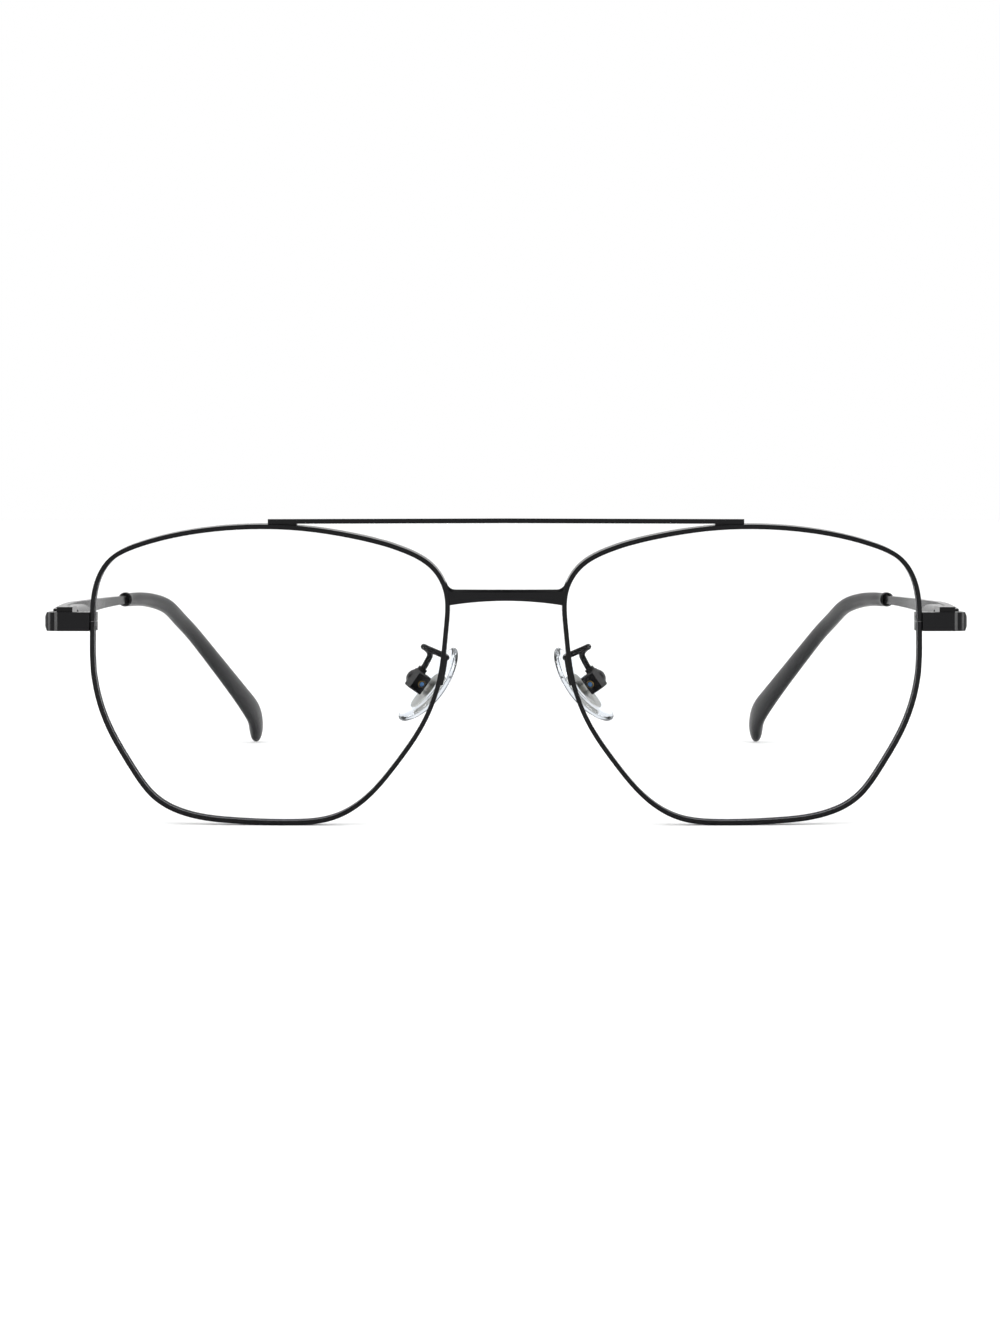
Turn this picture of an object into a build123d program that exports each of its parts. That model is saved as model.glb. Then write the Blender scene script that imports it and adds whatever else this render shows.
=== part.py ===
"""Double bridge glasses: a wire frame with a brow bar, sprung temples, screwed nose pads and clear lenses.

Lengths are in millimetres, turned angles in degrees. X runs across the face, with the wearer's left side
at +X, the front faces -Y, the temples run back along +Y, and Z is up. Z = 0 is the table that the rims and
the ends of the temple tips stand on. The left half is built, and its mirror image makes the right half.
"""

from build123d import *

import os
from math import cos, hypot, radians, sin, sqrt

os.makedirs("parts", exist_ok=True)

# General fits
running_fit = 0.03
loose_fit = 0.1
parting_gap = 0.05
overrun = 3.0

# How the lenses sit in the front
lens_width = 54.2
lens_height = 45.3
lens_gap = 18.5
lens_radius = 132.0
lens_tilt = 6.0
lens_wrap = 2.0

# Places on the edge of the left lens, as shares of half its width and half its height.
# They start at the temple side and go round by the bottom, the nose and the brow.
lens_edge_shares = (
    (0.991, -0.033),
    (0.923, -0.332),
    (0.793, -0.622),
    (0.645, -0.852),
    (0.497, -0.94),
    (0.208, -0.989),
    (-0.117, -0.999),
    (-0.356, -0.961),
    (-0.505, -0.858),
    (-0.702, -0.597),
    (-0.859, -0.315),
    (-0.95, -0.019),
    (-0.989, 0.333),
    (-0.987, 0.567),
    (-0.918, 0.719),
    (-0.771, 0.831),
    (-0.495, 0.931),
    (-0.179, 0.991),
    (0.136, 0.999),
    (0.459, 0.957),
    (0.735, 0.872),
    (0.903, 0.762),
    (0.976, 0.604),
    (0.998, 0.319),
)

# How many places round the edge an outline is drawn through, and how many of them each spline and arc share
outline_steps = 96
outline_stretch = 12

# Lenses: a plate with a narrow bevel round its edge
lens_thickness = 1.3
lens_recess = 0.25
bevel_height = 0.27
bevel_width = 0.6
bevel_setback = 0.6

# Rims: a flat wire that stands on edge round each lens, with a groove for the bevel
rim_width = 0.7
rim_depth = 1.8
rim_split = 0.08

# Bridge between the noses of the rims; its height is a share of half the lens's height above its middle
bridge_rise_share = 0.5408
bridge_end_rise = 1.25
bridge_waist_rise = 0.45
bridge_depth = 1.7
bridge_setback = 1.25
bridge_bow = 0.9
bridge_root = 1.3
bridge_bevel = 0.42
bridge_inset = 0.15

# Brow bar: the second bridge, a flat strip on two feet
brow_span = 72.6
brow_rise = 0.136
brow_thickness = 0.72
brow_peak = 0.12
brow_depth = 1.8
brow_setback = -0.42
brow_bow = 0.7
brow_foot_length = 4.4
brow_foot_depth = 1.2

# End pieces: where the front turns the corner towards the temples
corner_reach = 7.7
corner_thickness = 1.35
corner_height = 2.9
corner_rise_share = 0.3752
corner_lead = 0.14
corner_round = 1.7
corner_bevel = 0.5
corner_bevel_depth = 0.3
corner_fold = 0.4
ridge_rise = 0.45
ridge_height = 1.1

# Closing blocks that clamp the split rim, and their screw
lock_overlap = 0.3
lock_width = 3.3
lock_depth = 2.1
lock_height = 2.8
lock_margin = 0.2
lock_screw_radius = 0.5
lock_head_radius = 0.8
lock_head_height = 0.35

# Hinge: two front knuckles with the slider's eye between them
hinge_depth = 8.6
knuckle_radius = 1.2
hinge_rise = 0.4
hinge_height = 3.6
eye_height = 1.2
hinge_screw_radius = 0.55
hinge_head_radius = 0.85
hinge_head_height = 0.4
slot_width = 0.2
slot_depth = 0.18

# Spring housing on the temple, and the slider in it
housing_length = 10.6
housing_height = 3.1
housing_wall = 0.9
barrel_radius = 0.85
rod_radius = 0.4
rod_length = 8.0
stop_length = 0.6
spring_wire = 0.2
spring_pitch = 0.55
spring_turns = 10
plug_length = 0.7

# Temples: a flat arm that tapers to the tip, then a round core wire inside the tip
arm_rise = 0.45
arm_length = 67.0
arm_thickness = 1.2
arm_half_height = 1.5
arm_bow = 2.0
arm_inset = 1.05
core_radius = 0.6
core_share = 0.34

# Along the arm: how far along it, and the share of the bow reached there
arm_bow_shares = (
    (0.0, 0.0),
    (0.22, 0.4),
    (0.45, 0.85),
    (0.65, 1.0),
    (0.8, 0.76),
    (0.91, 0.34),
    (1.0, 0.0),
)

# Along the arm: how far along it, and the share of its half height there
arm_height_shares = (
    (0.0, 0.85),
    (0.08, 1.0),
    (0.35, 0.97),
    (0.51, 0.78),
    (0.68, 0.64),
    (0.85, 0.53),
    (1.0, 0.46),
)

# Temple tips: a plastic sleeve that bends down and in behind the ear, with a beaded mouth round the arm
tip_reach = 64.3
tip_inset = 17.6
tip_end_height = 0.85
tip_width = 2.6
tip_blade = 6.0
tip_trail = 1.33
mouth_radius = 1.28
mouth_length = 1.3
mouth_round = 0.35
mouth_fit = 0.2

# Along the tip: shares of its reach, inset and drop, then of the sleeve's width and the blade's breadth
tip_shares = (
    (0.0, 0.0, 0.0, 0.95, 0.4),
    (0.068, 0.047, 0.006, 0.92, 0.41),
    (0.161, 0.114, 0.015, 0.9, 0.43),
    (0.254, 0.19, 0.037, 0.92, 0.46),
    (0.348, 0.273, 0.08, 0.95, 0.49),
    (0.441, 0.34, 0.153, 0.97, 0.51),
    (0.534, 0.43, 0.243, 0.97, 0.53),
    (0.628, 0.548, 0.364, 0.97, 0.6),
    (0.721, 0.69, 0.506, 0.97, 0.7),
    (0.814, 0.834, 0.652, 0.99, 0.81),
    (0.892, 0.945, 0.772, 1.03, 0.93),
    (0.954, 0.997, 0.868, 1.1, 1.08),
    (0.985, 1.0, 0.955, 0.98, 0.9),
    (1.0, 1.0, 1.0, 0.55, 0.42),
)

# Nose pads: the edge of the lens beside them, as shares of half its width and half its height, then the way
# from there to the middle of the pad box, and the way along the pad and from the pad to its box
nose_edge_share = 0.968
nose_rise_share = 0.13
pad_offset = (3.54, 6.28, -4.21)
pad_run = (0.625, 0.122, -0.771)
pad_face = (0.742, -0.401, 0.538)
pad_twist = 9.0

# Pad arms: a bent wire with a foot strip along the rim
arm_wire = 0.95
arm_bend = 0.8
foot_strip = 0.34
foot_rise = 0.2
foot_fall = 4.4
collar_radius = 0.76
collar_length = 0.6

# Places along the pad arm from the foot, in millimetres from the pad box's middle
pad_arm_start = (-4.44, -4.9, 3.99)
pad_arm_rise = (-4.34, -3.35, 4.09)
pad_arm_outer_front = (-0.79, -1.7, 5.49)
pad_arm_outer_rear = (-0.89, 0.3, 5.39)
pad_arm_return = (-1.95, 0.95, 4.29)

# Pad box, pad screw and the metal core in the pad
box_length = 3.1
box_lead = 1.45
box_trail = 0.95
box_front = 0.85
box_back = 1.35
box_round = 0.35
pad_lug_width = 1.0
pad_lug_radius = 0.95
pad_neck_width = 1.1
pad_screw_radius = 0.5
pad_head_radius = 1.5
pad_head_height = 1.35
pad_head_round = 0.6
pad_screw_proud = 0.15
core_plate_length = 6.8
core_plate_shift = 0.6
core_plate_width = 3.2
core_plate_thickness = 0.4
core_cover = 0.12
pad_standoff = 1.9
pad_shift = 0.55
pad_length = 14.3
pad_width = 7.3
pad_lean = 0.28
pad_thickness = 1.55
pad_curve = 19.3
pad_round = 0.55
arm_entry = 0.15
arm_approach = 1.0

# Places worked out from the sizes
brow_lead = brow_bow - brow_setback
tip_start = hinge_depth + parting_gap + arm_length
front_y = -(tip_start + tip_reach + tip_trail - brow_lead) / 2
outline_half_height = lens_height / 2 + rim_width
edge_sag = lens_radius - sqrt(lens_radius**2 - outline_half_height**2)
lens_x = lens_gap / 2 + lens_width / 2
lens_z = outline_half_height * cos(radians(lens_tilt)) - edge_sag * sin(radians(lens_tilt))
lens_plane = Plane(
    origin=(lens_x, front_y, lens_z),
    x_dir=(cos(radians(lens_wrap)), sin(radians(lens_wrap)), 0),
    z_dir=(
        sin(radians(lens_wrap)) * cos(radians(lens_tilt)),
        -cos(radians(lens_wrap)) * cos(radians(lens_tilt)),
        -sin(radians(lens_tilt)),
    ),
)
bridge_height = lens_z + bridge_rise_share * lens_height / 2
bridge_reach = lens_gap / 2 - bridge_inset
brow_height = 2 * outline_half_height * cos(radians(lens_tilt)) + brow_rise
corner_middle = lens_z + corner_rise_share * lens_height / 2
side_up = corner_rise_share * lens_height / 2
side_sag = lens_radius - sqrt(lens_radius**2 - (lens_width / 2) ** 2 - side_up**2)
side_edge = lens_plane.from_local_coords((lens_width / 2, side_up, -side_sag))
corner_y = side_edge.Y - corner_lead
corner_spread = lens_x + lens_width / 2 + corner_reach
corner_inner = corner_spread - ridge_rise - corner_thickness
lock_inner = lens_x + lens_width / 2 - lock_overlap
lock_y = corner_y + corner_thickness
hinge_x = corner_inner - loose_fit - knuckle_radius
hinge_y = front_y + hinge_depth
hinge_middle = corner_middle + hinge_rise
butt_y = hinge_y + parting_gap
arm_x = corner_inner + arm_thickness / 2
arm_middle = corner_middle + arm_rise
tip_drop = arm_middle - tip_end_height
nose_across = -nose_edge_share * lens_width / 2
nose_up = nose_rise_share * lens_height / 2
nose_sag = lens_radius - sqrt(lens_radius**2 - nose_across**2 - nose_up**2)
nose_edge = lens_plane.from_local_coords((nose_across, nose_up, -nose_sag))
pad_middle = nose_edge + Vector(*pad_offset)
pad_plane = Plane(origin=pad_middle, x_dir=pad_run, z_dir=pad_face)
box_run = pad_plane.x_dir.rotate(Axis((0, 0, 0), pad_plane.z_dir), -pad_twist)
box_plane = Plane(origin=pad_middle, x_dir=box_run, z_dir=pad_face)


with BuildLine() as lens_edge:
    Spline(*[(across * lens_width / 2, up * lens_height / 2) for across, up in lens_edge_shares], periodic=True)


def lens_outline(growth):
    """Return the outline of the left lens, grown evenly by growth, as splines between short tangent arcs."""
    edge = lens_edge.line.edges()[0]
    places = [step / outline_steps for step in range(outline_steps)]
    points = [edge @ place + growth * edge.tangent_at(place).rotate(Axis.Z, 90) for place in places]
    points.append(points[0])
    with BuildSketch() as outline:
        with BuildLine():
            starts = range(0, outline_steps, outline_stretch)
            arcs = [ThreePointArc(*points[start : start + 3]) for start in starts]
            for start, arc, following in zip(starts, arcs, arcs[1:] + arcs[:1]):
                Spline(*points[start + 2 : start + outline_stretch + 1], tangents=(arc % 1, following % 0))
        make_face()
    return outline.sketch


def curved_plate(outline, setback, depth):
    """Return a plate with that outline whose two faces follow the lens's curve, setback behind its front."""
    with BuildPart() as plate:
        with BuildSketch(lens_plane):
            add(outline)
        extrude(amount=rim_depth + edge_sag + overrun, both=True)
        with Locations(lens_plane.from_local_coords((0, 0, -setback - lens_radius))):
            Sphere(lens_radius, mode=Mode.INTERSECT)
        with Locations(lens_plane.from_local_coords((0, 0, -setback - depth - lens_radius))):
            Sphere(lens_radius, mode=Mode.SUBTRACT)
    return plate.part


def ring(outer, inner):
    """Return the outline between two growths of the lens's edge."""
    with BuildSketch() as band:
        add(lens_outline(outer))
        add(lens_outline(inner), mode=Mode.SUBTRACT)
    return band.sketch


def rim_bar(growth):
    """Return a solid bar through the front in the shape of the rim's outline, for cutting neighbours to it."""
    with BuildPart() as bar:
        with BuildSketch(lens_plane):
            add(lens_outline(rim_width + growth))
        extrude(amount=rim_depth + edge_sag + overrun, both=True)
    return bar.part


# Solids that several pieces are made from or cut to
rim_outside = rim_bar(0)
rim_outside_right = rim_outside.mirror(Plane.YZ)
rim_clearance = rim_bar(parting_gap)
rim_envelope = curved_plate(lens_outline(rim_width), 0, rim_depth)
lens_plate = curved_plate(lens_outline(-running_fit), lens_recess, lens_thickness)
lens_bevel = curved_plate(lens_outline(bevel_height), bevel_setback + running_fit, bevel_width)
rim_wire = curved_plate(ring(rim_width, 0), 0, rim_depth)
rim_groove = curved_plate(
    ring(bevel_height + running_fit, -overrun), bevel_setback, bevel_width + 2 * running_fit
)
foot_band = curved_plate(ring(rim_width + foot_strip, rim_width), 0, rim_depth)

# Lens: the clear plate and the bevel that its groove holds
with BuildPart() as lens_left:
    add(lens_plate)
    add(lens_bevel)

# Rim: the wire, its inner groove and the split that the closing screw pulls together
with BuildPart() as rim_left:
    add(rim_wire)
    add(rim_groove, mode=Mode.SUBTRACT)
    with BuildSketch(Plane.XY.offset(corner_middle - rim_split / 2)):
        with Locations((corner_spread, corner_y)):
            Rectangle(lens_width, 2 * lens_width)
    extrude(amount=rim_split, mode=Mode.SUBTRACT)

# Bridge: a bowed strip with its upper front edge bevelled, flared where it meets the rims
with BuildPart() as bridge:
    with BuildSketch(Plane.XY):
        with BuildLine():
            ThreePointArc(
                (-bridge_reach, front_y + bridge_setback),
                (0, front_y + bridge_setback - bridge_bow),
                (bridge_reach, front_y + bridge_setback),
            )
            ThreePointArc(
                (bridge_reach, front_y + bridge_setback + bridge_depth),
                (0, front_y + bridge_setback + bridge_depth - bridge_bow),
                (-bridge_reach, front_y + bridge_setback + bridge_depth),
            )
            Line(
                (-bridge_reach, front_y + bridge_setback + bridge_depth),
                (-bridge_reach, front_y + bridge_setback),
            )
            Line(
                (bridge_reach, front_y + bridge_setback),
                (bridge_reach, front_y + bridge_setback + bridge_depth),
            )
        make_face()
    extrude(amount=lens_height)
    with BuildSketch(Plane.XZ.offset(-front_y)):
        with BuildLine():
            top_reach = bridge_reach - bridge_root
            top = bridge_height + bridge_end_rise
            Line((-top_reach, top), (top_reach, top))
            RadiusArc((top_reach, top), (bridge_reach, top + bridge_root), -bridge_root)
            Line((bridge_reach, top + bridge_root), (bridge_reach, bridge_height - bridge_end_rise))
            ThreePointArc(
                (bridge_reach, bridge_height - bridge_end_rise),
                (0, bridge_height - bridge_waist_rise),
                (-bridge_reach, bridge_height - bridge_end_rise),
            )
            Line((-bridge_reach, bridge_height - bridge_end_rise), (-bridge_reach, top + bridge_root))
            RadiusArc((-bridge_reach, top + bridge_root), (-top_reach, top), -bridge_root)
        make_face()
    extrude(amount=lens_gap, both=True, mode=Mode.INTERSECT)
    upper_edge = edges().sort_by_distance((0, front_y + bridge_setback - bridge_bow, top))[0]
    chamfer(upper_edge, length=bridge_bevel)
    add(rim_outside, mode=Mode.SUBTRACT)
    add(rim_outside_right, mode=Mode.SUBTRACT)

# Brow bar: a flat strip that bows gently forward and rises to a faint peak, on feet cut to the rims
with BuildPart() as brow_bar:
    bar_front = front_y + brow_setback
    with BuildSketch(Plane.XY):
        with BuildLine():
            ThreePointArc((-brow_span / 2, bar_front), (0, bar_front - brow_bow), (brow_span / 2, bar_front))
            Line((brow_span / 2, bar_front), (brow_span / 2, bar_front + brow_depth))
            ThreePointArc(
                (brow_span / 2, bar_front + brow_depth),
                (0, bar_front + brow_depth - brow_bow),
                (-brow_span / 2, bar_front + brow_depth),
            )
            Line((-brow_span / 2, bar_front + brow_depth), (-brow_span / 2, bar_front))
        make_face()
    extrude(amount=lens_height + lens_width)
    with BuildSketch(Plane.XZ.offset(-front_y)):
        with BuildLine():
            Polyline(
                (-brow_span / 2, brow_height),
                (0, brow_height + brow_peak),
                (brow_span / 2, brow_height),
                (brow_span / 2, brow_height + brow_thickness),
                (0, brow_height + brow_thickness + brow_peak),
                (-brow_span / 2, brow_height + brow_thickness),
                close=True,
            )
        make_face()
    extrude(amount=lens_gap, both=True, mode=Mode.INTERSECT)
    with BuildSketch(Plane.XY.offset(brow_height + brow_thickness / 2)):
        for side in (-1, 1):
            with Locations((side * (brow_span - brow_foot_length) / 2, bar_front + brow_depth / 2)):
                Rectangle(brow_foot_length, brow_foot_depth)
    extrude(amount=-(brow_thickness / 2 + rim_depth))
    add(rim_outside, mode=Mode.SUBTRACT)
    add(rim_outside_right, mode=Mode.SUBTRACT)

# End piece: a strip that turns the corner past a narrow bevel, with a ridge along its side
with BuildPart() as end_piece_left:
    side_x = corner_spread
    with BuildSketch(Plane.XY.offset(corner_middle - corner_height / 2)):
        with BuildLine():
            Polyline(
                (side_x, corner_y + corner_bevel_depth + corner_round),
                (side_x, hinge_y),
                (corner_inner, hinge_y),
                (corner_inner, lock_y),
                (lock_inner, lock_y),
                (lock_inner, corner_y),
                (side_x - corner_round - corner_bevel, corner_y),
                (side_x - corner_round, corner_y + corner_bevel_depth),
            )
            CenterArc(
                (side_x - corner_round, corner_y + corner_bevel_depth + corner_round), corner_round, -90, 90
            )
        make_face()
        inner_corner = vertices().sort_by_distance((corner_inner, lock_y))[0]
        fillet(inner_corner, radius=corner_fold)
    extrude(amount=corner_height)
    with BuildSketch(Plane.XZ.offset(-corner_y)):
        with BuildLine():
            Polyline(
                (lock_inner - overrun, corner_middle - corner_height / 2),
                (side_x - ridge_rise, corner_middle - corner_height / 2),
                (side_x, corner_middle - ridge_height / 2),
                (side_x, corner_middle + ridge_height / 2),
                (side_x - ridge_rise, corner_middle + corner_height / 2),
                (lock_inner - overrun, corner_middle + corner_height / 2),
                close=True,
            )
        make_face()
    extrude(amount=hinge_depth + overrun, both=True, mode=Mode.INTERSECT)
    add(rim_clearance, mode=Mode.SUBTRACT)

# Closing blocks: two halves behind the end piece, one on each side of the rim's split
lock_x = lock_inner + lock_width - lock_head_radius - lock_margin


def closing_block(bottom, height, hole_radius):
    """Return one closing block that starts at height bottom, with its screw hole."""
    with BuildPart() as block:
        with BuildSketch(Plane.XY.offset(bottom)):
            with Locations((lock_inner + lock_width / 2, lock_y + lock_depth / 2)):
                Rectangle(lock_width, lock_depth)
            with Locations((lock_x, lock_y + lock_depth / 2)):
                Circle(hole_radius, mode=Mode.SUBTRACT)
        extrude(amount=height)
        add(rim_envelope, mode=Mode.SUBTRACT)
    return block.part


block_height = (lock_height - rim_split) / 2
upper_block = closing_block(corner_middle + rim_split / 2, block_height, lock_screw_radius + loose_fit)
lower_block = closing_block(
    corner_middle - rim_split / 2 - block_height, block_height, lock_screw_radius + running_fit
)

with BuildPart() as rim_lock_upper_left:
    add(upper_block)
    with BuildSketch(Plane.XY.offset(corner_middle + rim_split / 2 + block_height)):
        with Locations((lock_x, lock_y + lock_depth / 2)):
            Circle(lock_head_radius + running_fit)
    extrude(amount=-lock_head_height, mode=Mode.SUBTRACT)

with BuildPart() as rim_lock_lower_left:
    add(lower_block)

# Closing screw: its head sinks into the upper block, and its shank threads into the lower one
with BuildPart() as closing_screw_left:
    with BuildSketch(Plane.XY.offset(corner_middle - rim_split / 2 - block_height)):
        with Locations((lock_x, lock_y + lock_depth / 2)):
            Circle(lock_screw_radius)
    extrude(amount=2 * block_height + rim_split)
    with BuildSketch(Plane.XY.offset(corner_middle + rim_split / 2 + block_height)):
        with Locations((lock_x, lock_y + lock_depth / 2)):
            Circle(lock_head_radius)
    extrude(amount=running_fit - lock_head_height)
    with BuildSketch(Plane.XY.offset(corner_middle + rim_split / 2 + block_height)):
        with Locations((lock_x, lock_y + lock_depth / 2)):
            Rectangle(slot_width, 2 * lock_head_radius + overrun)
    extrude(amount=-slot_depth, mode=Mode.SUBTRACT)

# Front hinge: a web behind the end piece with two knuckles
hinge_bottom = hinge_middle - hinge_height / 2
hinge_top = hinge_middle + hinge_height / 2
eye_bottom = hinge_middle - eye_height / 2
eye_top = hinge_middle + eye_height / 2
web_left = hinge_x - knuckle_radius

with BuildPart() as front_hinge_left:
    with BuildSketch(Plane.XY.offset(hinge_bottom)):
        with Locations((hinge_x, hinge_y)):
            Circle(knuckle_radius)
        with Locations((hinge_x, (lock_y + hinge_y) / 2)):
            Rectangle(2 * knuckle_radius, hinge_y - lock_y)
        with BuildLine():
            Polyline(
                (hinge_x, lock_y),
                (corner_inner - corner_fold, lock_y),
                (corner_inner, lock_y + corner_fold),
                (corner_inner, hinge_y - knuckle_radius),
                (hinge_x, hinge_y - knuckle_radius),
                close=True,
            )
        make_face()
    extrude(amount=hinge_height)
    add(end_piece_left.part, mode=Mode.SUBTRACT)
    with BuildSketch(Plane.XY.offset(eye_bottom - parting_gap)):
        with Locations((hinge_x, hinge_y)):
            Circle(knuckle_radius + loose_fit)
        with Locations((hinge_x, hinge_y + knuckle_radius)):
            Rectangle(2 * knuckle_radius + overrun, 2 * knuckle_radius)
    extrude(amount=eye_height + 2 * parting_gap, mode=Mode.SUBTRACT)
    with BuildSketch(Plane.XY.offset(hinge_bottom)):
        with Locations((hinge_x, hinge_y)):
            Circle(hinge_screw_radius + running_fit)
    extrude(amount=hinge_height, mode=Mode.SUBTRACT)
    with BuildSketch(Plane.XY.offset(hinge_top)):
        with Locations((hinge_x, hinge_y)):
            Circle(hinge_head_radius + running_fit)
    extrude(amount=-hinge_head_height, mode=Mode.SUBTRACT)

# Hinge screw: the pin that the temple turns on
with BuildPart() as hinge_screw_left:
    with BuildSketch(Plane.XY.offset(hinge_bottom)):
        with Locations((hinge_x, hinge_y)):
            Circle(hinge_screw_radius)
    extrude(amount=hinge_height)
    with BuildSketch(Plane.XY.offset(hinge_top - hinge_head_height + running_fit)):
        with Locations((hinge_x, hinge_y)):
            Circle(hinge_head_radius)
    extrude(amount=hinge_head_height - running_fit)
    with BuildSketch(Plane.XY.offset(hinge_top)):
        with Locations((hinge_x, hinge_y)):
            Rectangle(slot_width, 2 * hinge_head_radius + overrun)
    extrude(amount=-slot_depth, mode=Mode.SUBTRACT)

# Places along the spring housing
housing_start = hinge_y + knuckle_radius + loose_fit
housing_reach = corner_spread - hinge_x + arm_bow
housing_end = housing_start + housing_length
barrel_start = housing_start + housing_wall
rod_end = hinge_y + knuckle_radius + rod_length
rod_plane = Plane.XZ.offset(-hinge_y)

# Temple arm: seen from above it bows outwards, and seen from the side it swells past the hinge and tapers
arm_places = [
    (arm_x + arm_bow * bow - arm_inset * along, butt_y + arm_length * along) for along, bow in arm_bow_shares
]
arm_outer_side = [(x + arm_thickness / 2, y) for x, y in arm_places]
arm_inner_side = [(x - arm_thickness / 2, y) for x, y in arm_places]
arm_top = [
    (butt_y + arm_length * along, arm_middle + arm_half_height * share) for along, share in arm_height_shares
]
arm_bottom = [(y, 2 * arm_middle - z) for y, z in arm_top]
arm_end_x, arm_end_y = arm_places[-1]
arm_end_half_height = arm_half_height * arm_height_shares[-1][1]

# The line that the temple tip and its core wire follow
tip_places = [
    Vector(arm_end_x - tip_inset * inset, arm_end_y + tip_reach * reach, arm_middle - tip_drop * drop)
    for reach, inset, drop, width, blade in tip_shares
]
with BuildLine() as tip_line:
    tip_curve = Spline(*tip_places, tangents=(tip_places[1] - tip_places[0], tip_places[-1] - tip_places[-2]))


def core_wire(radius):
    """Return a round wire of that radius along the first stretch of the temple tip."""
    with BuildPart() as wire:
        with BuildSketch(Plane(origin=tip_curve @ 0, z_dir=tip_curve % 0)):
            Circle(radius)
        sweep(path=tip_curve.trim(0, core_share))
    return wire.part


core_bar = core_wire(core_radius)
core_bore = core_wire(core_radius + running_fit)

with BuildPart() as temple_left:
    with BuildSketch(Plane.XY):
        with BuildLine():
            outer_side = Spline(*arm_outer_side)
            inner_side = Spline(*arm_inner_side)
            Line(outer_side @ 0, inner_side @ 0)
            Line(outer_side @ 1, inner_side @ 1)
        make_face()
    extrude(amount=lens_height + lens_width)
    with BuildSketch(Plane.YZ):
        with BuildLine():
            top_edge = Spline(*arm_top)
            bottom_edge = Spline(*arm_bottom)
            Line(top_edge @ 0, bottom_edge @ 0)
            Line(top_edge @ 1, bottom_edge @ 1)
        make_face()
    extrude(amount=lens_width + lens_gap + corner_spread, mode=Mode.INTERSECT)
    add(core_bar)

# Spring housing: a barrel against the temple's inner side
with BuildPart() as spring_housing_left:
    with BuildSketch(Plane.XZ.offset(-housing_start)):
        with Locations((hinge_x, hinge_middle)):
            Circle(housing_height / 2)
        with Locations((hinge_x + housing_reach / 2, hinge_middle)):
            Rectangle(housing_reach, housing_height)
    extrude(amount=-housing_length)
    with BuildSketch(Plane.XZ.offset(-barrel_start)):
        with Locations((hinge_x, hinge_middle)):
            Circle(barrel_radius)
    extrude(amount=-housing_length, mode=Mode.SUBTRACT)
    with BuildSketch(Plane.XZ.offset(-housing_start)):
        with Locations((hinge_x, hinge_middle)):
            Circle(rod_radius + loose_fit)
    extrude(amount=-housing_wall, mode=Mode.SUBTRACT)
    with BuildSketch(Plane.XY):
        with BuildLine():
            seat = Spline(*arm_inner_side)
            Line(seat @ 0, (corner_spread + lens_gap, butt_y))
            Line((corner_spread + lens_gap, butt_y), (corner_spread + lens_gap, arm_end_y))
            Line((corner_spread + lens_gap, arm_end_y), seat @ 1)
        make_face()
    extrude(amount=lens_height + lens_width, mode=Mode.SUBTRACT)

with BuildPart() as housing_plug_left:
    with BuildSketch(Plane.XZ.offset(-housing_end)):
        with Locations((hinge_x, hinge_middle)):
            Circle(barrel_radius - running_fit)
    extrude(amount=plug_length)

# Slider: the eye between the knuckles, a neck, and the rod with its stop
with BuildPart() as hinge_slider_left:
    with BuildSketch(Plane.XY.offset(eye_bottom)):
        with Locations((hinge_x, hinge_y)):
            Circle(knuckle_radius)
    extrude(amount=eye_height)
    with BuildSketch(rod_plane):
        with Locations((hinge_x, hinge_middle)):
            Circle(rod_radius)
    extrude(amount=-(knuckle_radius + rod_length))
    with BuildSketch(Plane.XZ.offset(-rod_end)):
        with Locations((hinge_x, hinge_middle)):
            Circle(barrel_radius - loose_fit)
    extrude(amount=stop_length)
    with BuildSketch(Plane.XY.offset(eye_bottom)):
        with Locations((hinge_x, hinge_y)):
            Circle(hinge_screw_radius + running_fit)
    extrude(amount=eye_height, mode=Mode.SUBTRACT)

# Hinge spring: round wire wound on the rod between the front wall and the stop
spring_radius = (barrel_radius + rod_radius) / 2
with BuildPart() as hinge_spring_left:
    with BuildLine():
        coil = Helix(
            pitch=spring_pitch,
            height=spring_pitch * spring_turns,
            radius=spring_radius,
            center=(hinge_x, barrel_start + spring_wire, hinge_middle),
            direction=(0, 1, 0),
        )
    with BuildSketch(Plane(origin=coil @ 0, z_dir=coil % 0)):
        Circle(spring_wire / 2)
    sweep(path=coil, is_frenet=True)

# Temple tip: a sleeve lofted along the bend and a bead round its mouth, with a bore for the core wire
with BuildPart() as temple_tip_left:
    for place, (reach, inset, drop, width, blade) in zip(tip_places, tip_shares):
        heading = tip_curve % tip_curve.param_at_point(place)
        with BuildSketch(Plane(origin=place, x_dir=(1, 0, 0), z_dir=heading)):
            Ellipse(tip_width * width / 2, tip_blade * blade / 2)
    loft()
    with BuildSketch(Plane.XZ.offset(-arm_end_y)):
        with Locations((arm_end_x, arm_middle)):
            Circle(mouth_radius)
    extrude(amount=mouth_length)
    fillet(edges().group_by(Axis.Y)[0], radius=mouth_round)
    with BuildSketch(Plane.XZ.offset(-arm_end_y - parting_gap)):
        with Locations((arm_end_x, arm_middle)):
            Circle(hypot(arm_thickness / 2, arm_end_half_height) + mouth_fit)
    extrude(amount=mouth_length + parting_gap, mode=Mode.SUBTRACT)
    add(core_bore, mode=Mode.SUBTRACT)

# Pad box: a block with a slot for the pad's lug, crossed by the pad screw
across_pad = Plane(origin=pad_middle, x_dir=box_plane.x_dir, z_dir=box_plane.y_dir)

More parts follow.
